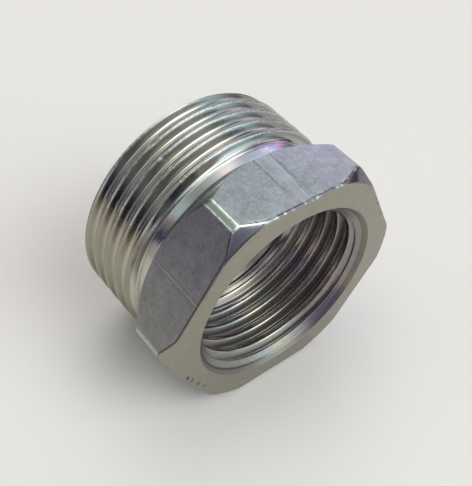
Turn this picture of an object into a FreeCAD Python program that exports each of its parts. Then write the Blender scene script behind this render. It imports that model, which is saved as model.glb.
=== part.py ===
import FreeCAD
import Part
import math
import os

# Hexagon reducing bushing, turned from steel bar and zinc plated: a male pipe thread outside,
# a smaller female pipe thread tapped into the hexagon's face. Millimetres.
# The bushing lies on one hexagon flat and the male thread, with its lowest line at Z = 0. Its axis
# is along Y, the hexagon's face looks along -Y, the male thread points along +Y, and +Z is up.

# Pipe thread form, the same for both threads: 14 threads per inch, flanks at 55 degrees
thread_pitch = 1.8143
thread_half_angle = 27.5
crest_truncation = 1 / 6

# The female thread, how far its drilled core stays inside its major radius, and the walls outside
# that radius, up to the male thread's crests and up to the hexagon's flats
female_major_diameter = 20.955
female_thread_depth = 0.9775
male_thread_wall = 2.743
hexagon_wall = 2.5225

# Lengths along the axis
total_length = 17.5
hexagon_length = 7.1
relief_length = 1.4
first_female_crest_depth = 2.19
female_crest_count = 4

# Hexagon
corner_trim = 0.21
front_chamfer_overlap = 0.7
front_chamfer_angle = 45.0
shoulder_knee_overlap = 0.35
shoulder_angle = 32.0
back_bevel_angle = 53.0

# Thread relief, chamfers at the end of the male thread and the countersink of the female one
relief_diameter_allowance = 0.08
lead_chamfer_depth = 0.6
lead_chamfer_angle = 45.0
inner_end_chamfer = 0.5
countersink_overlap = 0.48
countersink_angle = 45.0


def tan(angle):
    return math.tan(math.radians(angle))


def turned(points):
    """Solid turned about the axis from a closed profile of (radius, depth behind the front face)."""
    corners = [FreeCAD.Vector(radius, 0, -depth) for radius, depth in points]
    face = Part.Face(Part.makePolygon(corners + corners[:1]))
    return face.revolve(FreeCAD.Vector(0, 0, 0), FreeCAD.Vector(0, 0, 1), 360)


# Drill for the female thread, male thread and hexagon, all around the female thread
core_drill_diameter = female_major_diameter - 2 * female_thread_depth
male_major_diameter = female_major_diameter + 2 * male_thread_wall
across_flats = female_major_diameter + 2 * hexagon_wall

# Thread form: a sharp triangle with its crest cut off flat, and the sharp root left as it is
sharp_height = thread_pitch / (2 * tan(thread_half_angle))
crest_cut = crest_truncation * sharp_height
crest_land = 2 * crest_cut * tan(thread_half_angle)
standard_depth = sharp_height - 2 * crest_cut
male_crest = male_major_diameter / 2
male_root = male_crest - (sharp_height - crest_cut)
female_root = female_major_diameter / 2 + crest_cut
female_crest = core_drill_diameter / 2

# Hexagon and shoulder: radii from the axis, depths behind the front face
flat_radius = across_flats / 2
bar_radius = flat_radius / math.cos(math.radians(30))
corner_radius = bar_radius - corner_trim
relief_radius = male_crest - standard_depth + relief_diameter_allowance / 2
front_radius = flat_radius + front_chamfer_overlap
front_chamfer_depth = (corner_radius - front_radius) * tan(front_chamfer_angle)
knee_radius = flat_radius + shoulder_knee_overlap
knee_depth = hexagon_length - shoulder_knee_overlap * tan(shoulder_angle)
bevel_depth = knee_depth - (corner_radius - knee_radius) * tan(back_bevel_angle)
relief_start = hexagon_length + (flat_radius - relief_radius) * tan(shoulder_angle)
relief_end = relief_start + relief_length

# Hexagon bar with its corners turned down, chamfered in front and bevelled behind
bar_corners = []
for step in range(6):
    turn = math.radians(60 * step)
    bar_corners.append(FreeCAD.Vector(bar_radius * math.cos(turn), bar_radius * math.sin(turn), 0))
bar_face = Part.Face(Part.makePolygon(bar_corners + bar_corners[:1]))
bar = bar_face.extrude(FreeCAD.Vector(0, 0, -relief_start))
head_blank = turned([
    (0, 0),
    (front_radius, 0),
    (corner_radius, front_chamfer_depth),
    (corner_radius, bevel_depth),
    (knee_radius, knee_depth),
    (relief_radius, relief_start),
    (0, relief_start),
])
head = bar.common(head_blank)

# Shank: the relief, then one ridge for each thread turn, cut to the chamfered end
shank_profile = [(0, relief_start), (relief_radius, relief_start), (relief_radius, relief_end)]
crest_start = relief_end + (male_crest - relief_radius) * tan(thread_half_angle)
while crest_start < total_length:
    shank_profile.append((male_crest, crest_start))
    shank_profile.append((male_crest, crest_start + crest_land))
    shank_profile.append((male_root, crest_start + (thread_pitch + crest_land) / 2))
    crest_start += thread_pitch
shank_profile.append((0, shank_profile[-1][1]))
lead_radius = male_crest - lead_chamfer_depth
lead_start = total_length - lead_chamfer_depth / tan(lead_chamfer_angle)
shank_blank = turned([
    (0, relief_start),
    (male_crest, relief_start),
    (male_crest, lead_start),
    (lead_radius, total_length),
    (0, total_length),
])
shank = turned(shank_profile).common(shank_blank)

# Bore: core drilled through, one tapped groove in front of each crest and one behind the last,
# the mouth countersunk and the far end chamfered
core = turned([(0, -1), (female_crest, -1), (female_crest, total_length + 1), (0, total_length + 1)])
groove_half_width = (female_root - female_crest) * tan(thread_half_angle)
female_land = thread_pitch - 2 * groove_half_width
cutters = []
for turn_number in range(female_crest_count + 1):
    groove_depth = first_female_crest_depth - groove_half_width + turn_number * thread_pitch
    cutters.append(turned([
        (0, groove_depth - groove_half_width),
        (female_crest, groove_depth - groove_half_width),
        (female_root, groove_depth),
        (female_crest, groove_depth + groove_half_width),
        (0, groove_depth + groove_half_width),
    ]))
mouth_radius = female_major_diameter / 2 + countersink_overlap
mouth_depth = mouth_radius * tan(countersink_angle)
cutters.append(turned([(0, -1), (mouth_radius, -1), (mouth_radius, 0), (0, mouth_depth)]))
cutters.append(turned([
    (0, total_length - inner_end_chamfer),
    (female_crest, total_length - inner_end_chamfer),
    (female_crest + inner_end_chamfer, total_length),
    (female_crest + inner_end_chamfer, total_length + 1),
    (0, total_length + 1),
]))
bore = core.fuse(cutters)

bushing = head.fuse(shank).cut(bore).removeSplitter()

# Laid down: the axis along Y, the middle of the length over the origin, the lowest line at Z = 0
bushing.rotate(FreeCAD.Vector(0, 0, 0), FreeCAD.Vector(1, 0, 0), 90)
bushing.translate(FreeCAD.Vector(0, -total_length / 2, max(male_crest, flat_radius)))

os.makedirs("parts", exist_ok=True)
solid = bushing.Solids[0]
solid.exportStep("parts/hex_bushing.step")
print("solids", len(bushing.Solids), "valid", solid.isValid(), "volume", round(solid.Volume, 1))
print("crest diameters", round(2 * male_crest, 3), round(2 * female_crest, 3))
print("relief from", round(relief_start, 3), "to", round(relief_end, 3))
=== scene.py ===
"""Zinc plated hexagon bushing lying on one flat: its surface, finish, floor, light and camera."""

import math

import bpy
import numpy as np
from mathutils import Matrix


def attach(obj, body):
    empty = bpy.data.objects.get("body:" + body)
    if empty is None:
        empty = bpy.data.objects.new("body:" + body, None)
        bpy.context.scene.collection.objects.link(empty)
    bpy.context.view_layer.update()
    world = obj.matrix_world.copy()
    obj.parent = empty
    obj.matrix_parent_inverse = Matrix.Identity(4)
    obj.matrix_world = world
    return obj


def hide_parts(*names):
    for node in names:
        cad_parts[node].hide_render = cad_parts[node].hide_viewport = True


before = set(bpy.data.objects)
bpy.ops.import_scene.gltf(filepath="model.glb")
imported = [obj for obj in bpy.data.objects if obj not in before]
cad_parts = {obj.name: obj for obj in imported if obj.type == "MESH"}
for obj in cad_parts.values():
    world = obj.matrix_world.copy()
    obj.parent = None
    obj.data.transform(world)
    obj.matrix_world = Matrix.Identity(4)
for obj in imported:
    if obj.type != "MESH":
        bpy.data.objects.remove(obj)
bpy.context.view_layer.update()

# Lengths are in millimetres until the mesh is made. A depth is measured behind the hexagon's
# face, and a turn is an angle about the axis in degrees, from +X towards +Z.
MILLIMETRE = 0.001
BUSHING_LENGTH = 17.5
AXIS_HEIGHT = 13.2205
THREAD_PITCH = 1.8143

# Thread forms: half the crest's width, the flank's slope, the roundings of root and crest edge
MALE_FORM = (0.2, 0.312, 2.4, 0.1)
FEMALE_FORM = (0.3, 0.552, 0.3, 0.08)

# Outer thread. Its helix passes a crest at turn 105.6, 9.93 mm behind the face. The crests stand
# a little proud before their tops are cut flat, and those beside the relief are lower.
MALE_CREST = 13.2205
MALE_HELIX_START = 9.93 + THREAD_PITCH * 105.6 / 360
PROUD_CREST = 0.03
THREAD_START = 8.95
RUN_OUT_SLOPE = 1.7
RUN_OUT_ROUNDING = 0.06
LOW_CREST_AT, LOW_CREST_DROP, LOW_CREST_REACH = 9.3, 0.12, 0.9
LEAD_START = 16.9
LEAD_ROUNDING = 0.05
CREST_ROUNDING = 0.01

# Bore. Its helix passes a crest at turn 30.6, 1.60 mm behind the face. The grooves fade in behind
# the mouth and out where the tap ends, and a fine crease runs round the countersink.
FEMALE_CREST = 9.5
FEMALE_HELIX_START = 1.60 + THREAD_PITCH * 30.6 / 360
TAP_START, TAP_RUN_IN = 0.5, 0.7
TAP_END, TAP_RUN_OUT = 10.2, 2.4
MOUTH = 10.89
MOUTH_ROUNDING = 0.05
CREASE_AT, CREASE_HEIGHT, CREASE_WIDTH = 0.47, 0.04, 0.05
CREASE_DARK_WIDTH = 0.08
FAR_MOUTH = 10.0
FAR_CHAMFER = 0.5

# Hexagon and relief: radii, a knee as (radius, depth), and how far edges are broken or rounded
FLAT = 13.0
CORNER = 14.8
CORNER_ROUNDING = 0.03
FACE_EDGE = 13.7
FACE_EDGE_ROUNDING = 0.04
EDGE_BREAK = 0.1
BEVEL_KNEE = (13.35, 6.88)
BEVEL_SLOPES = (0.62, 1.33)
BEVEL_ROUNDING = 0.25
BEVEL_FOOT = 0.1
RELIEF = 12.1
RELIEF_START = 7.62

# Columns of each 60 degree sector: degrees to either side of the flat's middle
COLUMNS = (
    2, 4, 6, 8, 10, 12, 14, 16, 18, 20, 22, 24,
    25.6, 26.9, 27.8, 28.28, 28.56, 28.84, 29.4,
)

# Rows of the section: fractions of the way from one edge to the next, or depths, and the rows
# that keep an edge crisp, which lie close to it
FACE_STEPS = (0, 0.015, 0.05, 0.2, 0.4, 0.6, 0.8, 0.95)
CHAMFER_STEPS = (0.03, 0.15, 0.5, 0.85, 0.97)
FLAT_STEPS = np.linspace(0.1, 1, 10)
BEVEL_STEPS = (0.01, 0.04, 0.12, 0.25, 0.4, 0.55, 0.7, 0.85, 0.96)
RELIEF_ROWS = (8.0, 8.3, 8.6, 8.8, 8.9)
THREAD_ROWS = np.arange(8.96, 17.46, 0.045)
END_STEPS = (0, 0.03, 0.3, 0.6, 0.97, 1)
CORE_ROWS = (16.99, 16.6, 15.4, 14.2, 13.0, 11.8, 10.8, 10.3)
BORE_ROWS = np.concatenate([
    np.arange(10.2, 8.0, -0.11),
    np.arange(8.0, 5.0, -0.08),
    np.arange(5.0, 0.02, -0.05),
])
CLOSE, NEAR = 0.02, 0.08

# Dents and burrs on the outer thread: turn, depth, height, width round, width along
DENTS = [
    (119.8, 13.25, -0.08, 0.25, 0.12),
    (145.5, 13.25, 0.06, 0.30, 0.12),
    (135.8, 13.40, -0.07, 0.30, 0.12),
    (119.8, 11.60, -0.05, 0.30, 0.12),
    (118.0, 15.20, -0.10, 0.60, 0.12),
]
DENT_RADIUS = 13.2

# Ragged crest edges: waves round the axis, each with its lean along it, and their height
RAGGED_WAVES = ((157, 2.1), (211, -2.73), (263, 1.47))
RAGGED_HEIGHT = 0.008
RAGGED_FROM, RAGGED_TO = 9.6, 16.7

# Anything farther from the axis than this is outside, anything nearer is the bore or its mouth
OUTSIDE = 11.4

# How deep in each thread a groove counts as its root, and the depths at which the countersink's
# painted dark reflection ends and the relief's colour starts and ends
MALE_GROOVE, FEMALE_GROOVE = 0.9, 0.84
MOUTH_DEPTH = 0.95
RELIEF_FROM, RELIEF_TO = 7.4, 9.3

# Painted light and shade round the axis: the beige reflection, the shade on the bevel, the
# countersink's dark reflection, and where the crease's dark line shows. A stretch is given by where
# it starts, over how many degrees it fades in, where it ends and over how many it fades out.
BEIGE_REFLECTION_STRETCH = (148, 12, 270, 20)
SHADE_STRETCH = (110, 4, 136, 8)
MOUTH_DARK_REFLECTION_STRETCH = (296, 8, 334, 8)
CREASE_STRETCH = (170, 20, 268, 12)

# A reddish painted dark reflection round one turn, the chamfers that are as olive as the face
# while the others are painted dark as shade, painted shade on one side of the bore and deep in it
# behind the tapped part, and the top flat
SHANK_DARK_REFLECTION_TURN, SHANK_DARK_REFLECTION_WIDTH = 153.5, 5
OLIVE_FROM, OLIVE_TO = 150, 30
SHADED_BORE_FROM, SHADED_BORE_TO, SHADED_BORE_FADE = 285, 20, 20
DEEP_BORE_SHADE_FROM, DEEP_BORE_SHADE_FADE = 9.3, 0.8
TOP_FROM, TOP_TO = 60, 120

# The one corner that is worn to a strip, half its width in degrees, and where on it the painted
# glints along its edges lie: degrees from a flat's middle. A degree at the corner is 0.258 mm.
WORN_CORNER, WORN_HALF = 120, 10
STRIP_EDGE = 28.75
CORNER_DEGREE = 0.258

# Widths of the painted glint lines on worn edges, and how strong they are away from the worn
# corner. A crest has a painted glint ahead of its middle and a weaker one behind, which fade to
# faint from turn 147 to 162 and come back from turn 330.
EDGE_WEAR = 0.1
OTHER_CORNERS_GLINT = 0.2
GLINT_AHEAD, GLINT_BEHIND, BEHIND_STRENGTH = (-0.24, 0.06), (0.21, 0.05), 0.7
GLINT_DEPTH = 0.25
GLINT_FADES, GLINT_RETURNS, LEAST_GLINT = (162, -15), (330, 30), 0.15


def soft_min(a, b, rounding):
    """The smaller of a and b, with the corner between them rounded: half of a + b less the root
    of their squared difference plus rounding squared."""
    return 0.5 * (a + b - np.sqrt((a - b) ** 2 + rounding ** 2))


def soft_max(a, b, rounding):
    """The larger of a and b, with the corner between them rounded the same way."""
    return -soft_min(-a, -b, rounding)


def ramp(value, start, width):
    """0 up to start, then rising evenly to 1 over the width. With a negative width it is 1 at
    first and falls evenly to 0 at start."""
    return np.clip((value - start) / width, 0, 1)


def stretch(turn, start, fade_in, end, fade_out):
    """1 from start to end, fading evenly at both."""
    return ramp(turn, start, fade_in) * ramp(turn, end, -fade_out)


def bell(value, middle, width):
    """e to the power of minus the square of (distance from the middle over the width)."""
    return np.exp(-((value - middle) / width) ** 2)


def column_angles():
    """Angles about the axis, in radians. Each 60 degree sector has the same columns, close
    together at the hexagon's edges."""
    half = np.array(COLUMNS)
    sector = np.concatenate([[-30], -half[::-1], [0], half])
    return np.radians((sector[None, :] + 30 + 60 * np.arange(6)[:, None]).reshape(-1))


def from_middle(angle):
    """Degrees from the middle of the flat at that angle."""
    return np.degrees(angle) % 60 - 30


def hexagon_radius(angle):
    """Distance from the axis to the flat at that angle, the flat's own over the cosine from its
    middle, cut off by the turned corner."""
    return soft_min(FLAT / np.cos(np.radians(from_middle(angle))), CORNER, CORNER_ROUNDING)


def face_edge_radius(corner):
    """Where the face ends: at the chamfer's circle, or where the flat's broken edge is nearer."""
    return soft_min(corner - EDGE_BREAK, FACE_EDGE + 0 * corner, FACE_EDGE_ROUNDING)


def bevel_depth(radius):
    """Depth of the bevel behind the hexagon: one slope near its knee and a steeper one beyond."""
    beyond = radius - BEVEL_KNEE[0]
    shallow, steep = (BEVEL_KNEE[1] - beyond * slope for slope in BEVEL_SLOPES)
    return soft_min(shallow, steep, BEVEL_ROUNDING)


def male_turns(depth, angle):
    """Turns from the outer thread's crest at its right-hand helix."""
    return (depth - MALE_HELIX_START) / THREAD_PITCH + angle / (2 * math.pi)


def thread_depth(turns, crest_half, flank, root_round, crest_edge):
    """Depth below the crest at turns from a crest: nothing over the crest's flat, then a flank
    that eases into a rounded root. From the root's middle the surface rises as the root of
    (distance over flank) squared plus root_round squared."""
    from_root = THREAD_PITCH * (0.5 - np.abs(turns - np.round(turns)))
    crest_at = THREAD_PITCH / 2 - crest_half
    full = math.hypot(crest_at / flank, root_round)
    return soft_max(full - np.hypot(from_root / flank, root_round), 0 * from_root, crest_edge)


def male_surface(depth, angle):
    """Radius of the threaded end: the crest less the thread's depth at its right-hand helix,
    inside the run-out at the relief, the lead chamfer and the crests' flat tops."""
    thread = MALE_CREST + PROUD_CREST - thread_depth(male_turns(depth, angle), *MALE_FORM)
    past_low_crest = np.clip(depth - LOW_CREST_AT, 0, None)
    thread = thread - LOW_CREST_DROP * np.exp(-past_low_crest / LOW_CREST_REACH)
    run_out = RELIEF + (depth - THREAD_START) * RUN_OUT_SLOPE
    lead = MALE_CREST - (depth - LEAD_START)
    inside = soft_min(soft_min(thread, run_out, RUN_OUT_ROUNDING), lead, LEAD_ROUNDING)
    return soft_min(inside, MALE_CREST + 0 * thread, CREST_ROUNDING)


def female_surface(depth, angle):
    """Radius of the bore: the drilled core, opened by the thread's grooves, which fade in at the
    mouth and out where the tap ends, and by the 45 degree countersink."""
    turns = (depth - FEMALE_HELIX_START) / THREAD_PITCH + angle / (2 * math.pi)
    fade = ramp(depth, TAP_END, -TAP_RUN_OUT) * ramp(depth, TAP_START, TAP_RUN_IN)
    mouth = MOUTH - depth + CREASE_HEIGHT * bell(depth, CREASE_AT, CREASE_WIDTH)
    core = FEMALE_CREST + thread_depth(turns, *FEMALE_FORM) * fade
    return soft_max(core, mouth, MOUTH_ROUNDING)


def ring_rows(start, end, fractions):
    """Rows between two rings, each a (radius, depth) pair, at those fractions of the way."""
    return [
        (start[0] + (end[0] - start[0]) * t, start[1] + (end[1] - start[1]) * t)
        for t in fractions
    ]


def bushing_rows(angle):
    """The bushing's outline at every angle, as rows of radius and depth that go round the section
    once: face, chamfer, flats, bevel, relief, thread, far end, bore."""
    level = np.zeros_like(angle)
    corner = hexagon_radius(angle)
    face_edge = face_edge_radius(corner)
    mouth, edge = (female_surface(level, angle), level), (face_edge, level)
    rows = ring_rows(mouth, edge, FACE_STEPS)
    rows += [(face_edge - 0.05, level), (face_edge - 0.012, level + 0.001)]

    chamfer_end = corner - face_edge
    rows += ring_rows(edge, (corner, chamfer_end), CHAMFER_STEPS)
    flat_start, flat_end = (corner, chamfer_end + NEAR), (corner, bevel_depth(corner) - NEAR)
    rows += [(corner, chamfer_end + CLOSE), flat_start]
    rows += ring_rows(flat_start, flat_end, FLAT_STEPS)
    rows += [(corner, bevel_depth(corner) - CLOSE)]
    for step in BEVEL_STEPS:
        radius = corner + (RELIEF + BEVEL_FOOT - corner) * step
        rows.append((radius, bevel_depth(radius)))

    rows += [(level + RELIEF + 0.03, level + RELIEF_START + 0.06)]
    rows += [(level + RELIEF, level + depth) for depth in (RELIEF_START + 0.14, *RELIEF_ROWS)]
    for depth in THREAD_ROWS:
        rows.append((male_surface(depth + level, angle), depth + level))
    outer = (male_surface(BUSHING_LENGTH + level, angle) - 0.03, BUSHING_LENGTH + level)
    inner = (FAR_MOUTH + level, BUSHING_LENGTH + level)
    rows += ring_rows(outer, inner, END_STEPS)
    half_chamfer = FAR_CHAMFER / 2
    rows += [(FAR_MOUTH - half_chamfer + level, BUSHING_LENGTH - half_chamfer + level)]

    rows += [(FEMALE_CREST + level, level + depth) for depth in CORE_ROWS]
    for depth in BORE_ROWS:
        rows.append((female_surface(depth + level, angle), depth + level))
    radii, depths = zip(*rows)
    return np.array(radii), np.array(depths)


def with_dents(radius, depth, angle):
    """The surface with its outer crest edges made ragged by three sine waves, and each dent or
    burr added as a bell curve over the turn times one over the depth."""
    outside = radius > OUTSIDE
    waves = sum(np.sin(angle * wave + depth * lean) for wave, lean in RAGGED_WAVES)
    edge = bell(MALE_CREST - radius, 0.05, 0.06) * (depth > RAGGED_FROM) * (depth < RAGGED_TO)
    radius = radius + RAGGED_HEIGHT * waves * edge
    for turn, behind, height, width_round, width_along in DENTS:
        away = (np.degrees(angle)[None, :] - turn + 180) % 360 - 180
        dent = height * bell(np.radians(away) * DENT_RADIUS, 0, width_round)
        radius = radius + np.where(outside, dent * bell(depth, behind, width_along), 0)
    return radius


def closed_grid_faces(rows, columns):
    """Faces of a grid that closes on itself both ways: each joins a row to the next one and a
    column to the next one."""
    i = np.arange(rows)[:, None]
    j = np.arange(columns)[None, :]
    this_row, next_row = i * columns, ((i + 1) % rows) * columns
    next_column = (j + 1) % columns
    corners = [this_row + j, this_row + next_column, next_row + next_column, next_row + j]
    return np.stack(corners, -1).reshape(-1, 4)


def surface_marks(radius, depth, angle):
    """What the material reads at each point, by name: zones and wear from 0 to 1, and plain
    measures in millimetres."""
    turn = np.degrees(angle)
    level = 0 * radius
    corner = hexagon_radius(angle)
    behind_edge = depth - (corner - face_edge_radius(corner))
    across = FLAT * np.tan(np.radians(from_middle(angle))) + level

    # zones of the surface
    outer = radius > OUTSIDE
    inner = ~outer & (depth > 0.02)
    mouth = ~outer & (depth < MOUTH_DEPTH)
    shank = outer & (depth > RELIEF_START)
    thread = outer & (depth > THREAD_START)
    worn_corner = np.abs(turn - WORN_CORNER) < WORN_HALF
    on_hexagon = outer & (np.abs(radius - corner) < 0.3) & (depth < 7.0)
    on_flat = outer & (np.abs(radius - corner) < 0.004) & (depth < RELIEF_START)
    strip = worn_corner & (radius > CORNER - CORNER_ROUNDING)
    chamfer = outer & (depth > 0.004) & (behind_edge < -0.02)
    olive = (turn >= OLIVE_FROM) | (turn <= OLIVE_TO)
    bevel = outer & (radius < corner - 0.01) & (depth > 4) & (depth < RELIEF_START + 0.08)

    # how deep a point lies in its thread's groove
    hollow = np.where(thread, (MALE_CREST - radius) / MALE_GROOVE, 0)
    tapped = inner & (depth < TAP_END)
    hollow = np.where(tapped, (radius - FEMALE_CREST) / FEMALE_GROOVE, hollow)

    # painted glints: both edges of a crest, the front edge of the top flat, the strip's two edges
    turns = male_turns(depth, angle)
    behind_crest = THREAD_PITCH * (turns - np.round(turns))
    weaker = BEHIND_STRENGTH * bell(behind_crest, *GLINT_BEHIND)
    crest_edges = np.maximum(bell(behind_crest, *GLINT_AHEAD), weaker)
    fading = np.maximum(ramp(turn, *GLINT_FADES), ramp(turn, *GLINT_RETURNS))
    fading = np.clip(fading, LEAST_GLINT, 1)
    on_top = (turn > TOP_FROM) & (turn < TOP_TO)
    by_corner = on_top * ramp(across, 4, 1.2)
    front_edge = bell(behind_edge, 0, EDGE_WEAR)
    behind_face = ramp(behind_edge, -EDGE_WEAR, EDGE_WEAR)
    off_edge = (np.abs(from_middle(angle)) - STRIP_EDGE) * CORNER_DEGREE
    strip_edge = bell(off_edge, 0, EDGE_WEAR) * behind_face
    strip_edge = strip_edge * np.where(worn_corner, 1.0, OTHER_CORNERS_GLINT)
    crease = bell(depth, CREASE_AT, CREASE_DARK_WIDTH) * stretch(turn, *CREASE_STRETCH)

    # painted shade on one side of the bore, which passes turn 0
    shaded = ramp(turn, SHADED_BORE_FROM, SHADED_BORE_FADE)
    shaded = np.maximum(shaded, ramp(turn, SHADED_BORE_TO, -SHADED_BORE_FADE))

    return {
        "hollow": np.clip(hollow, 0, 1),
        "flat": on_flat & ~strip,
        "face": (depth < 0.005) | (chamfer & olive),
        "chamfer": chamfer & ~olive,
        "bore": inner,
        "relief": outer & (depth > RELIEF_FROM) & (depth < RELIEF_TO),
        "strip": on_hexagon * strip * behind_face,
        "shade": bevel * stretch(turn, *SHADE_STRETCH),
        "shank_dark_reflection": shank * bell(turn, SHANK_DARK_REFLECTION_TURN, SHANK_DARK_REFLECTION_WIDTH),
        "beige_reflection": shank * stretch(turn, *BEIGE_REFLECTION_STRETCH),
        "shaded_bore": ~outer * shaded,
        "deep_bore_shade": ~outer * ramp(depth, DEEP_BORE_SHADE_FROM, DEEP_BORE_SHADE_FADE),
        "mouth_dark_reflection": mouth * ramp(radius, 9.9, 0.3) * stretch(turn, *MOUTH_DARK_REFLECTION_STRETCH),
        "crest_glint": thread * (radius > MALE_CREST - GLINT_DEPTH) * fading * crest_edges,
        "crest": thread * ramp(radius, MALE_CREST - 0.1, 0.07),
        "edge": on_hexagon * np.maximum(strip_edge, front_edge * by_corner),
        "edge_glint_dashes": on_hexagon * front_edge * on_top * (1 - by_corner),
        "crease": ~outer * crease,
        "behind_edge": behind_edge,
        "side": np.floor(turn / 60 + 1e-6) + level,
        "radius": radius,
        "depth": depth,
        "across": across,
    }


def make_bushing():
    """The bushing as one closed grid of rings, laid down with its axis along Y."""
    angle = column_angles()
    radius, depth = bushing_rows(angle)
    radius = with_dents(radius, depth, angle)
    points = np.stack([
        radius * np.cos(angle),
        depth - BUSHING_LENGTH / 2,
        radius * np.sin(angle) + AXIS_HEIGHT,
    ], -1).reshape(-1, 3) * MILLIMETRE
    mesh = bpy.data.meshes.new("bushing_surface")
    mesh.from_pydata(points, [], closed_grid_faces(*radius.shape)[:, ::-1])
    mesh.polygons.foreach_set("use_smooth", np.ones(len(mesh.polygons), bool))
    for name, values in surface_marks(radius, depth, angle).items():
        layer = mesh.attributes.new(name, "FLOAT", "POINT")
        layer.data.foreach_set("value", values.reshape(-1).astype(np.float32))
    bushing = bpy.data.objects.new("bushing", mesh)
    bpy.context.scene.collection.objects.link(bushing)
    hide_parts("hex_bushing")
    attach(bushing, "root")
    return bushing


# Base colours: the two that each zone varies between
TURNED_COLOURS = ((0.305, 0.312, 0.30, 1), (0.335, 0.343, 0.33, 1))
FLAT_COLOURS = ((0.42, 0.445, 0.50, 1), (0.335, 0.39, 0.395, 1))
# The steep flat's pair is darker, as painted shade
STEEP_SHADED_COLOURS = ((0.245, 0.245, 0.285, 1), (0.305, 0.30, 0.295, 1))
FACE_COLOURS = ((0.305, 0.293, 0.245, 1), (0.33, 0.318, 0.268, 1))
BORE_COLOURS = ((0.285, 0.285, 0.26, 1), (0.37, 0.372, 0.34, 1))

# Colours that cover a zone or a mark
RELIEF_COLOUR = (0.49, 0.52, 0.535, 1)
STRIP_COLOUR = (0.44, 0.52, 0.48, 1)
SHADE_COLOUR = (0.11, 0.10, 0.115, 1)
# Painted shade on the chamfers between turns 30 and 150; the rest keep the face's colour
CHAMFER_COLOUR = (0.19, 0.19, 0.225, 1)
# Painted glint on the crests' edges
CREST_GLINT_COLOUR = (0.66, 0.69, 0.71, 1)
# Painted glint along the hexagon's worn edges
EDGE_GLINT_COLOUR = (0.82, 0.92, 0.92, 1)
# Painted shade at the bottom of the thread roots
ROOT_SHADE_COLOUR = (0.13, 0.12, 0.11, 1)
# A dark line painted along the crease
CREASE_COLOUR = (0.08, 0.075, 0.07, 1)
SPECK_COLOUR = (0.17, 0.17, 0.18, 1)
DARK_MARK_COLOUR = (0.15, 0.145, 0.15, 1)
LIGHT_MARK_COLOUR = (0.62, 0.64, 0.65, 1)
FRONT_LINE_COLOUR = (0.10, 0.08, 0.07, 1)

# Tints that a colour is multiplied by
# A painted dark, reddish reflection round one turn of the relief and thread
SHANK_DARK_REFLECTION_TINT = (0.72, 0.62, 0.60, 1)
# A painted beige reflection on the side turned down towards the floor
BEIGE_REFLECTION_TINT = (1.07, 1.0, 0.84, 1)
BORE_TINTS = ((0.95, 0.97, 1.05, 1), (1.06, 1.01, 0.95, 1))
# Painted shade on one side of the bore
SHADED_BORE_TINT = (0.93, 0.86, 0.92, 1)
# A painted dark, indigo reflection on one stretch of the countersink
MOUTH_DARK_REFLECTION_TINT = (0.60, 0.58, 0.82, 1)
# Painted shade deep in the bore
DEEP_BORE_SHADE_TINT = (0.66, 0.60, 0.62, 1)
# Darkens the countersink
MOUTH_TINT = (0.72, 0.71, 0.665, 1)

# Roughness of each zone, from its smoothest to its roughest spots
TURNED_ROUGHNESS = (0.09, 0.15)
CREST_ROUGHNESS = (0.24, 0.36)
FLAT_ROUGHNESS = (0.32, 0.46)
FACE_ROUGHNESS = (0.26, 0.32)
BORE_ROUGHNESS = (0.12, 0.18)
RELIEF_ROUGHNESS = 0.2
GROOVE_ADDS, MOUTH_ADDS = 0.2, 0.04
WORN_ROUGHNESS = 0.4

# Heights of the turning tool's rings and of the rolled flats' grain, in metres
RING_HEIGHT = 0.0000025
GRAIN_HEIGHT = 0.000014

# Which of the hexagon's six sides are the top flat and the steep one, counted by turn
TOP_SIDE, STEEP_SIDE, SIDE_HALF = 1.0, 2.0, 0.4

# Drawing marks along those two flats: place across the flat and half width
TOP_DARK_MARKS = ((0.78, 0.26), (-1.12, 0.30))
TOP_LIGHT_MARK = (-0.36, 0.22)
TOP_RIDGE = (0.05, 0.6)
TOP_SLANT = 0.09
STEEP_DARK_MARKS = ((0.30, 0.14), (0.76, 0.14))
STEEP_LIGHT_MARK = (0.53, 0.12)
FRONT_LINE = (0.10, 0.22)

# Most noise lies between the first two values, and the cloudy one between the others
NOISE_LOW, NOISE_HIGH = 0.3, 0.7
CLOUD_RANGE = (0.35, 0.65)

# The countersink is painted darker, and made rougher, between these two radii
MOUTH_FROM, MOUTH_FULL = 10.35, 10.5

# Stains and tints in the plate: centre in millimetres, size, colour
STAINS = [
    ((-12.08, -8.75, 8.67), 0.35, (0.10, 0.07, 0.035, 1)),
    ((-11.50, -8.75, 7.80), 0.40, (0.16, 0.12, 0.06, 1)),
    ((-10.60, -8.75, 6.50), 0.45, (0.20, 0.16, 0.09, 1)),
    ((-9.88, -8.75, 5.30), 0.40, (0.16, 0.12, 0.06, 1)),
    ((10.60, -8.75, 20.60), 0.45, (0.17, 0.16, 0.09, 1)),
    ((10.10, -8.75, 21.60), 0.35, (0.20, 0.18, 0.10, 1)),
    ((11.50, -8.75, 18.60), 0.35, (0.22, 0.20, 0.12, 1)),
    # The next four, on the relief, are the plate's iridescent tints painted bright as a highlight
    ((2.20, 0.00, 25.05), 1.0, (0.70, 0.58, 0.70, 1)),
    ((3.40, 0.00, 24.80), 0.7, (0.42, 0.50, 0.72, 1)),
    ((4.40, 0.00, 24.50), 0.9, (0.70, 0.48, 0.66, 1)),
    ((5.40, 0.00, 24.00), 0.7, (0.46, 0.45, 0.68, 1)),
    ((-3.00, -0.80, 24.95), 1.0, (0.60, 0.49, 0.48, 1)),
    ((-10.00, -0.60, 20.00), 1.0, (0.34, 0.36, 0.58, 1)),
    ((-8.90, -0.50, 21.40), 0.9, (0.50, 0.41, 0.41, 1)),
]


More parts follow.
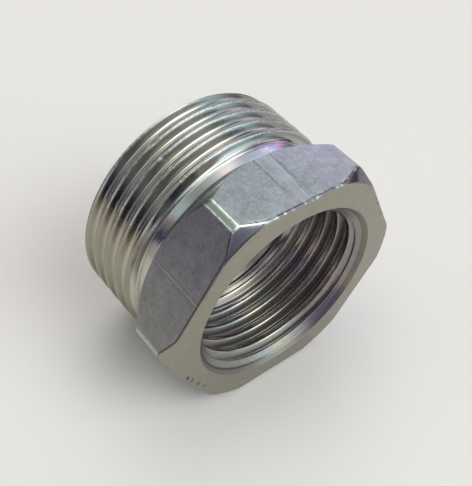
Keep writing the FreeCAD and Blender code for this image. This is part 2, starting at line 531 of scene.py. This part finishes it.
class Recipe:
    """A new material and short ways to add and join its nodes."""

    def __init__(self, name):
        self.material = bpy.data.materials.new(name)
        self.material.use_nodes = True
        self.nodes = self.material.node_tree.nodes
        self.links = self.material.node_tree.links
        self.shader = self.nodes["Principled BSDF"]

    def feed(self, value, socket):
        """Joins an output to the socket, or sets the socket to a plain number or colour."""
        if isinstance(value, bpy.types.NodeSocket):
            self.links.new(value, socket)
        else:
            socket.default_value = value

    def mark(self, name):
        """The value that the mesh keeps under that name at each point."""
        node = self.nodes.new("ShaderNodeAttribute")
        node.attribute_name = name
        return node.outputs["Fac"]

    def place(self):
        """Object coordinates, in metres."""
        return self.nodes.new("ShaderNodeTexCoord").outputs["Object"]

    def vector(self, x, y, z):
        """A vector from three values."""
        node = self.nodes.new("ShaderNodeCombineXYZ")
        for value, socket in zip((x, y, z), node.inputs):
            self.feed(value, socket)
        return node.outputs["Vector"]

    def maths(self, operation, a, b=0.0):
        """One step of arithmetic."""
        node = self.nodes.new("ShaderNodeMath")
        node.operation = operation
        for value, socket in zip((a, b), node.inputs):
            self.feed(value, socket)
        return node.outputs["Value"]

    def times(self, a, b):
        """The product of two values."""
        return self.maths("MULTIPLY", a, b)

    def plus(self, a, b):
        """The sum of two values."""
        return self.maths("ADD", a, b)

    def larger(self, a, b):
        """The larger of two values."""
        return self.maths("MAXIMUM", a, b)

    def noise(self, vector, scale, detail, roughness=0.55):
        """Fractal noise on those coordinates, mostly between 0.3 and 0.7."""
        node = self.nodes.new("ShaderNodeTexNoise")
        self.feed(vector, node.inputs["Vector"])
        node.inputs["Scale"].default_value = scale
        node.inputs["Detail"].default_value = detail
        node.inputs["Roughness"].default_value = roughness
        return node.outputs["Fac"]

    def ranged(self, value, low, high, to_low=0.0, to_high=1.0):
        """The value carried from low..high to to_low..to_high, and held at their ends outside."""
        node = self.nodes.new("ShaderNodeMapRange")
        for number, socket in zip((value, low, high, to_low, to_high), node.inputs):
            self.feed(number, socket)
        return node.outputs["Result"]

    def spread(self, noise, to_low=0.0, to_high=1.0):
        """Noise spread from its usual range to to_low..to_high."""
        return self.ranged(noise, NOISE_LOW, NOISE_HIGH, to_low, to_high)

    def band(self, value, middle, half_width):
        """1 at the middle of a band, falling smoothly to 0 at its half width."""
        away = self.maths("ABSOLUTE", self.maths("SUBTRACT", value, middle))
        result = self.ranged(away, 0.0, half_width, 1.0, 0.0)
        result.node.interpolation_type = "SMOOTHSTEP"
        return result

    def blend(self, factor, first, second):
        """The first value where the factor is 0, the second where it is 1."""
        node = self.nodes.new("ShaderNodeMix")
        node.data_type = "FLOAT"
        for value, socket in zip((factor, first, second), (0, 2, 3)):
            self.feed(value, node.inputs[socket])
        return node.outputs[0]

    def paint(self, factor, under, over, how="MIX"):
        """The colour under where the factor is 0, the one over it where it is 1."""
        node = self.nodes.new("ShaderNodeMix")
        node.data_type = "RGBA"
        node.blend_type = how
        for value, socket in zip((factor, under, over), (0, 6, 7)):
            self.feed(value, node.inputs[socket])
        return node.outputs[2]

    def tinted(self, colour, tint, factor=1.0):
        """The colour, multiplied by the tint where the factor is 1."""
        return self.paint(factor, colour, tint, "MULTIPLY")

    def shaded(self, colour, value):
        """The colour, multiplied by a plain value."""
        return self.tinted(colour, self.vector(value, value, value))

    def spot(self, centre, size):
        """1 at a place given in millimetres, falling to 0 at that size from it, with a ragged
        edge."""
        away = self.nodes.new("ShaderNodeVectorMath")
        away.operation = "DISTANCE"
        self.feed(self.place(), away.inputs[0])
        away.inputs[1].default_value = [v * MILLIMETRE for v in centre]
        size = size * MILLIMETRE
        reach = self.spread(self.noise(self.place(), 2600, 3), 0.2 * size, 1.2 * size)
        inside = self.maths("SUBTRACT", reach, away.outputs["Value"])
        return self.ranged(inside, 0.0, 0.25 * size)

    def bump(self, height, distance, under=None):
        """Raises the surface by the height, times the distance in metres, on top of what is under
        it."""
        node = self.nodes.new("ShaderNodeBump")
        self.feed(height, node.inputs["Height"])
        node.inputs["Distance"].default_value = distance
        node.inputs["Strength"].default_value = 1.0
        if under is not None:
            self.links.new(under, node.inputs["Normal"])
        return node.outputs["Normal"]


def drawing_marks(r, across, depth, cloud, top_side, steep_side):
    """The lines that drawing the bar left along the top flat and the steep one: how dark and how
    light they are at each point."""
    wandering = r.plus(across, r.spread(cloud, -0.15, 0.15))
    straighter = r.plus(across, r.spread(cloud, -0.05, 0.05))
    slanting = r.plus(across, r.times(depth, TOP_SLANT))

    top_dark = r.larger(*(r.band(wandering, *mark) for mark in TOP_DARK_MARKS))
    top_dark = r.times(r.ranged(depth, 1.0, 2.6, 0.15, 1.0), top_dark)
    steep_dark = r.larger(*(r.band(straighter, *mark) for mark in STEEP_DARK_MARKS))
    steep_dark = r.times(steep_dark, 0.5)
    dark = r.larger(r.times(top_side, top_dark), r.times(steep_side, steep_dark))

    ridge = r.times(r.band(slanting, *TOP_RIDGE), 0.45)
    top_light = r.larger(r.band(slanting, *TOP_LIGHT_MARK), ridge)
    steep_light = r.times(r.band(straighter, *STEEP_LIGHT_MARK), 0.4)
    light = r.larger(r.times(top_side, top_light), r.times(steep_side, steep_light))
    return dark, light


def flat_finish(r, across, steep_side, dark, light, noises):
    """The rolled flats' colour: a painted reflection, purple towards one edge and green towards the
    other and darker on the steep flat as painted shade, with grain, patches, specks, the drawing
    marks and a brown line along the front edge."""
    cloud, patch, grain, fine, speckle = noises
    # painted reflection: purple to green across each flat, darker on the steep flat as painted
    # shade
    lean = r.ranged(r.plus(across, r.spread(cloud, -3.0, 3.0)), -4.0, 4.0)
    colour = r.paint(steep_side, r.paint(lean, *FLAT_COLOURS), r.paint(lean, *STEEP_SHADED_COLOURS))
    uneven = r.plus(r.spread(grain, -0.15, 0.15), r.spread(patch, -0.12, 0.12))
    uneven = r.plus(uneven, r.spread(fine, -0.12, 0.12))
    colour = r.shaded(colour, r.plus(uneven, 1.0))
    speck = r.times(r.ranged(speckle, 0.62, 0.70), 0.22)
    colour = r.paint(speck, colour, SPECK_COLOUR)
    broken = r.times(r.ranged(patch, 0.38, 0.55), 0.62)
    colour = r.paint(r.times(dark, broken), colour, DARK_MARK_COLOUR)
    colour = r.paint(r.times(light, 0.5), colour, LIGHT_MARK_COLOUR)
    front_line = r.band(r.mark("behind_edge"), *FRONT_LINE)
    front_line = r.times(front_line, r.ranged(patch, 0.35, 0.5, 0.5, 0.95))
    return r.paint(front_line, colour, FRONT_LINE_COLOUR)


def bore_finish(r, radius, hollow, grain):
    """The bore's colour: crests lightened as a painted highlight, bluish and yellowish patches,
    painted shade on one side and deep in, a painted dark reflection in the countersink, and the
    countersink darker."""
    shaded_bore = r.mark("shaded_bore")
    colour = r.paint(r.spread(grain), *BORE_COLOURS)
    # painted highlight: the crests lightened, less on the shaded side
    crest_highlight = r.ranged(hollow, 0.02, 0.15, 0.45, 0.0)
    crest_highlight = r.times(crest_highlight, r.ranged(shaded_bore, 0.0, 1.0, 1.0, 0.2))
    colour = r.shaded(colour, r.plus(crest_highlight, 0.99))
    patches = r.ranged(r.noise(r.place(), 330, 2), 0.38, 0.62)
    colour = r.tinted(colour, r.paint(patches, *BORE_TINTS))
    # painted shade on one side of the bore
    colour = r.tinted(colour, SHADED_BORE_TINT, shaded_bore)
    # a painted dark, indigo reflection on one stretch of the countersink
    colour = r.tinted(colour, MOUTH_DARK_REFLECTION_TINT, r.mark("mouth_dark_reflection"))
    # painted shade deep in the bore
    colour = r.tinted(colour, DEEP_BORE_SHADE_TINT, r.mark("deep_bore_shade"))
    # the countersink painted darker
    return r.tinted(colour, MOUTH_TINT, r.ranged(radius, MOUTH_FROM, MOUTH_FULL))


def zinc_material():
    """Zinc plate on turned and rolled steel: bright turned threads and relief, an olive tinged
    face, matt mottled flats with drawing marks along them, worn edges with painted glints, thread
    roots with a painted highlight and painted shade at their bottoms, and brown stains. Some sides
    carry painted reflections and shade."""
    r = Recipe("zinc_plate")
    r.shader.inputs["Metallic"].default_value = 1.0
    flat, face, bore, relief = map(r.mark, ("flat", "face", "bore", "relief"))
    radius, depth, across, hollow = map(r.mark, ("radius", "depth", "across", "hollow"))

    # noise from coarse to fine, in patterns per metre, and the turning tool's rings, per millimetre
    cloud = r.noise(r.place(), 260, 4)
    patch = r.noise(r.place(), 700, 3)
    speckle = r.noise(r.place(), 1500, 2, 0.5)
    grain = r.noise(r.place(), 2600, 4, 0.65)
    fine = r.noise(r.place(), 6500, 3, 0.6)
    rings = r.noise(r.vector(depth, radius, r.times(cloud, 0.2)), 5.5, 4, 0.7)

    # turned surfaces, with the roots brightened as a painted highlight
    colour = r.paint(r.ranged(cloud, *CLOUD_RANGE), *TURNED_COLOURS)
    colour = r.shaded(colour, r.ranged(hollow, 0.55, 0.85, 0.94, 1.35))
    colour = r.paint(relief, colour, RELIEF_COLOUR)
    # a painted dark, reddish reflection round one turn
    colour = r.tinted(colour, SHANK_DARK_REFLECTION_TINT, r.mark("shank_dark_reflection"))
    # a painted beige reflection on the side turned down towards the floor
    colour = r.tinted(colour, BEIGE_REFLECTION_TINT, r.mark("beige_reflection"))

    # the other zones
    side = r.mark("side")
    top_side, steep_side = (r.band(side, number, SIDE_HALF) for number in (TOP_SIDE, STEEP_SIDE))
    dark, light = drawing_marks(r, across, depth, cloud, top_side, steep_side)
    noises = (cloud, patch, grain, fine, speckle)
    colour = r.paint(flat, colour, flat_finish(r, across, steep_side, dark, light, noises))
    colour = r.paint(face, colour, r.paint(r.spread(patch), *FACE_COLOURS))
    colour = r.paint(bore, colour, bore_finish(r, radius, hollow, grain))
    # the chamfers round the top painted dark as shade
    colour = r.paint(r.mark("chamfer"), colour, CHAMFER_COLOUR)
    colour = r.paint(r.mark("shade"), colour, SHADE_COLOUR)
    colour = r.paint(r.mark("strip"), colour, STRIP_COLOUR)

    # painted glints on crest edges and worn edges, painted shade at the roots' bottoms, a dark line
    # along the crease, stains
    # painted glints on the crests' edges
    crest_glint = r.times(r.mark("crest_glint"), r.ranged(grain, 0.35, 0.55, 0.15, 0.8))
    colour = r.paint(crest_glint, colour, CREST_GLINT_COLOUR)
    # painted glints along the worn edges of the hexagon
    edge_glint_dashes = r.times(r.mark("edge_glint_dashes"), r.ranged(speckle, 0.54, 0.62, 0.0, 0.7))
    edge_glint = r.larger(r.times(r.mark("edge"), r.ranged(grain, 0.36, 0.50)), edge_glint_dashes)
    colour = r.paint(edge_glint, colour, EDGE_GLINT_COLOUR)
    # painted shade at the bottom of the roots
    root_shade = r.times(r.ranged(hollow, 0.88, 1.0), r.ranged(grain, 0.35, 0.65, 0.0, 0.25))
    colour = r.paint(root_shade, colour, ROOT_SHADE_COLOUR)
    # a dark line painted along the crease over one stretch of turns
    crease = r.times(r.mark("crease"), r.ranged(grain, 0.3, 0.5, 0.5, 1.0))
    colour = r.paint(crease, colour, CREASE_COLOUR)
    for centre, size, tint in STAINS:
        colour = r.paint(r.spot(centre, size), colour, tint)
    r.feed(colour, r.shader.inputs["Base Color"])

    # roughness, zone by zone
    rough = r.ranged(cloud, *CLOUD_RANGE, *TURNED_ROUGHNESS)
    rough = r.blend(r.mark("crest"), rough, r.spread(grain, *CREST_ROUGHNESS))
    rough = r.blend(flat, rough, r.spread(grain, *FLAT_ROUGHNESS))
    rough = r.blend(face, rough, r.spread(patch, *FACE_ROUGHNESS))
    in_groove = r.ranged(hollow, 0.04, 0.2, 0.0, GROOVE_ADDS)
    in_mouth = r.ranged(radius, MOUTH_FROM, MOUTH_FULL, 0.0, MOUTH_ADDS)
    bore_rough = r.plus(r.plus(r.spread(grain, *BORE_ROUGHNESS), in_groove), in_mouth)
    rough = r.blend(bore, rough, bore_rough)
    rough = r.blend(relief, rough, RELIEF_ROUGHNESS)
    rough = r.larger(rough, r.times(r.larger(root_shade, crest_glint), WORN_ROUGHNESS))
    r.feed(rough, r.shader.inputs["Roughness"])

    # the turning tool's rings off the flats, grain and drawing marks on them
    normal = r.bump(r.blend(flat, r.spread(rings), 0.5), RING_HEIGHT)
    rolled = r.blend(flat, 0.5, r.plus(grain, r.times(fine, 0.5)))
    marks = r.times(r.maths("SUBTRACT", r.times(light, 0.8), dark), r.times(flat, 0.6))
    normal = r.bump(r.plus(rolled, marks), GRAIN_HEIGHT, normal)
    r.links.new(normal, r.shader.inputs["Normal"])
    return r.material


def make_floor():
    """A wide pale floor under the bushing."""
    reach = 3.0
    corners = [(-reach, -reach, 0), (reach, -reach, 0), (reach, reach, 0), (-reach, reach, 0)]
    mesh = bpy.data.meshes.new("floor_surface")
    mesh.from_pydata(corners, [], [(0, 1, 2, 3)])
    floor = bpy.data.objects.new("floor", mesh)
    bpy.context.scene.collection.objects.link(floor)
    r = Recipe("pale_floor")
    r.shader.inputs["Base Color"].default_value = (0.86, 0.86, 0.865, 1)
    r.shader.inputs["Roughness"].default_value = 0.8
    mesh.materials.append(r.material)


def compass(azimuth, elevation):
    """Unit vector at that azimuth, in degrees from +Y towards +X, and that elevation above the
    floor."""
    turn, rise = math.radians(azimuth), math.radians(elevation)
    return (math.sin(turn) * math.cos(rise), math.cos(turn) * math.cos(rise), math.sin(rise))


# The room's faint light from everywhere
AMBIENT = (0.065, 0.057, 0.07)

# Soft patches of light in the room: azimuth, elevation, sharpness, colour
ROOM_LIGHTS = [
    (0, 68, 28, (1.04, 1.01, 1.00)),
    (60, 68, 28, (1.75, 1.64, 1.25)),
    (300, 68, 28, (1.89, 1.88, 1.45)),
    (30, 50, 30, (0.24, 0.19, 0.23)),
    (22, 57, 60, (1.10, 1.12, 1.08)),
    (150, 50, 30, (3.67, 3.58, 3.49)),
    (180, 50, 30, (3.31, 3.27, 2.92)),
    (40, 33, 40, (0.68, 0.79, 0.93)),
    (140, 33, 40, (0.51, 0.62, 0.71)),
    (200, 33, 40, (0.32, 0.36, 0.43)),
    (220, 33, 40, (0.72, 0.74, 0.54)),
    (280, 33, 40, (0.39, 0.38, 0.31)),
    (300, 33, 40, (0.66, 0.64, 0.64)),
    (320, 33, 40, (0.34, 0.44, 0.41)),
    (45, 18, 40, (0.98, 1.07, 1.29)),
    (70, 18, 40, (1.74, 1.31, 1.83)),
    (115, 18, 60, (1.24, 1.13, 1.24)),
    (130, 18, 60, (0.23, 0.27, 0.25)),
    (145, 18, 60, (0.62, 0.84, 0.86)),
    (160, 18, 60, (1.66, 1.93, 2.03)),
    (220, 8, 14, (0.29, 0.28, 0.40)),
    (140, 3, 60, (0.95, 1.15, 1.22)),
    (155, 3, 60, (0.24, 0.27, 0.31)),
    (170, 3, 60, (1.91, 2.11, 2.06)),
]


def make_sky():
    """The room's soft light: the patches above, summed. Each is its colour times e to the power
    of its sharpness times (the cosine to its middle less one)."""
    world = bpy.data.worlds.new("room")
    bpy.context.scene.world = world
    world.use_nodes = True
    nodes, links = world.node_tree.nodes, world.node_tree.links
    place = nodes.new("ShaderNodeTexCoord")
    total = None
    for azimuth, elevation, sharpness, colour in ROOM_LIGHTS:
        cosine = nodes.new("ShaderNodeVectorMath")
        cosine.operation = "DOT_PRODUCT"
        cosine.inputs[1].default_value = compass(azimuth, elevation)
        links.new(place.outputs["Generated"], cosine.inputs[0])
        power = nodes.new("ShaderNodeMath")
        power.operation = "MULTIPLY_ADD"
        power.inputs[1].default_value = sharpness
        power.inputs[2].default_value = -sharpness
        links.new(cosine.outputs["Value"], power.inputs[0])
        patch = nodes.new("ShaderNodeMath")
        patch.operation = "EXPONENT"
        links.new(power.outputs["Value"], patch.inputs[0])
        glow = nodes.new("ShaderNodeVectorMath")
        glow.operation = "MULTIPLY_ADD"
        glow.inputs[1].default_value = colour
        links.new(patch.outputs["Value"], glow.inputs[0])
        if total is None:
            glow.inputs[2].default_value = AMBIENT
        else:
            links.new(total, glow.inputs[2])
        total = glow.outputs["Vector"]
    links.new(total, nodes["Background"].inputs["Color"])
    nodes["Background"].inputs["Strength"].default_value = 1.0


def make_camera():
    """The photograph's viewpoint, fitted to the hexagon's edges and the thread's lines."""
    right = (0.78466, -0.61264, 0.09481)
    up = (0.39855, 0.61566, 0.67979)
    back = (-0.47484, -0.49562, 0.72725)
    place = (-0.039327, -0.041303, 0.073480)
    camera_data = bpy.data.cameras.new("camera")
    camera_data.sensor_width = 36
    camera_data.lens = 58.14
    camera_data.clip_start, camera_data.clip_end = 0.005, 20
    camera = bpy.data.objects.new("camera", camera_data)
    turn = Matrix((right, up, back)).transposed().to_4x4()
    camera.matrix_world = Matrix.Translation(place) @ turn
    bpy.context.scene.collection.objects.link(camera)
    bpy.context.scene.camera = camera


bpy.context.scene.view_settings.view_transform = "Standard"
make_camera()
bushing = make_bushing()
bushing.data.materials.append(zinc_material())
make_floor()
make_sky()
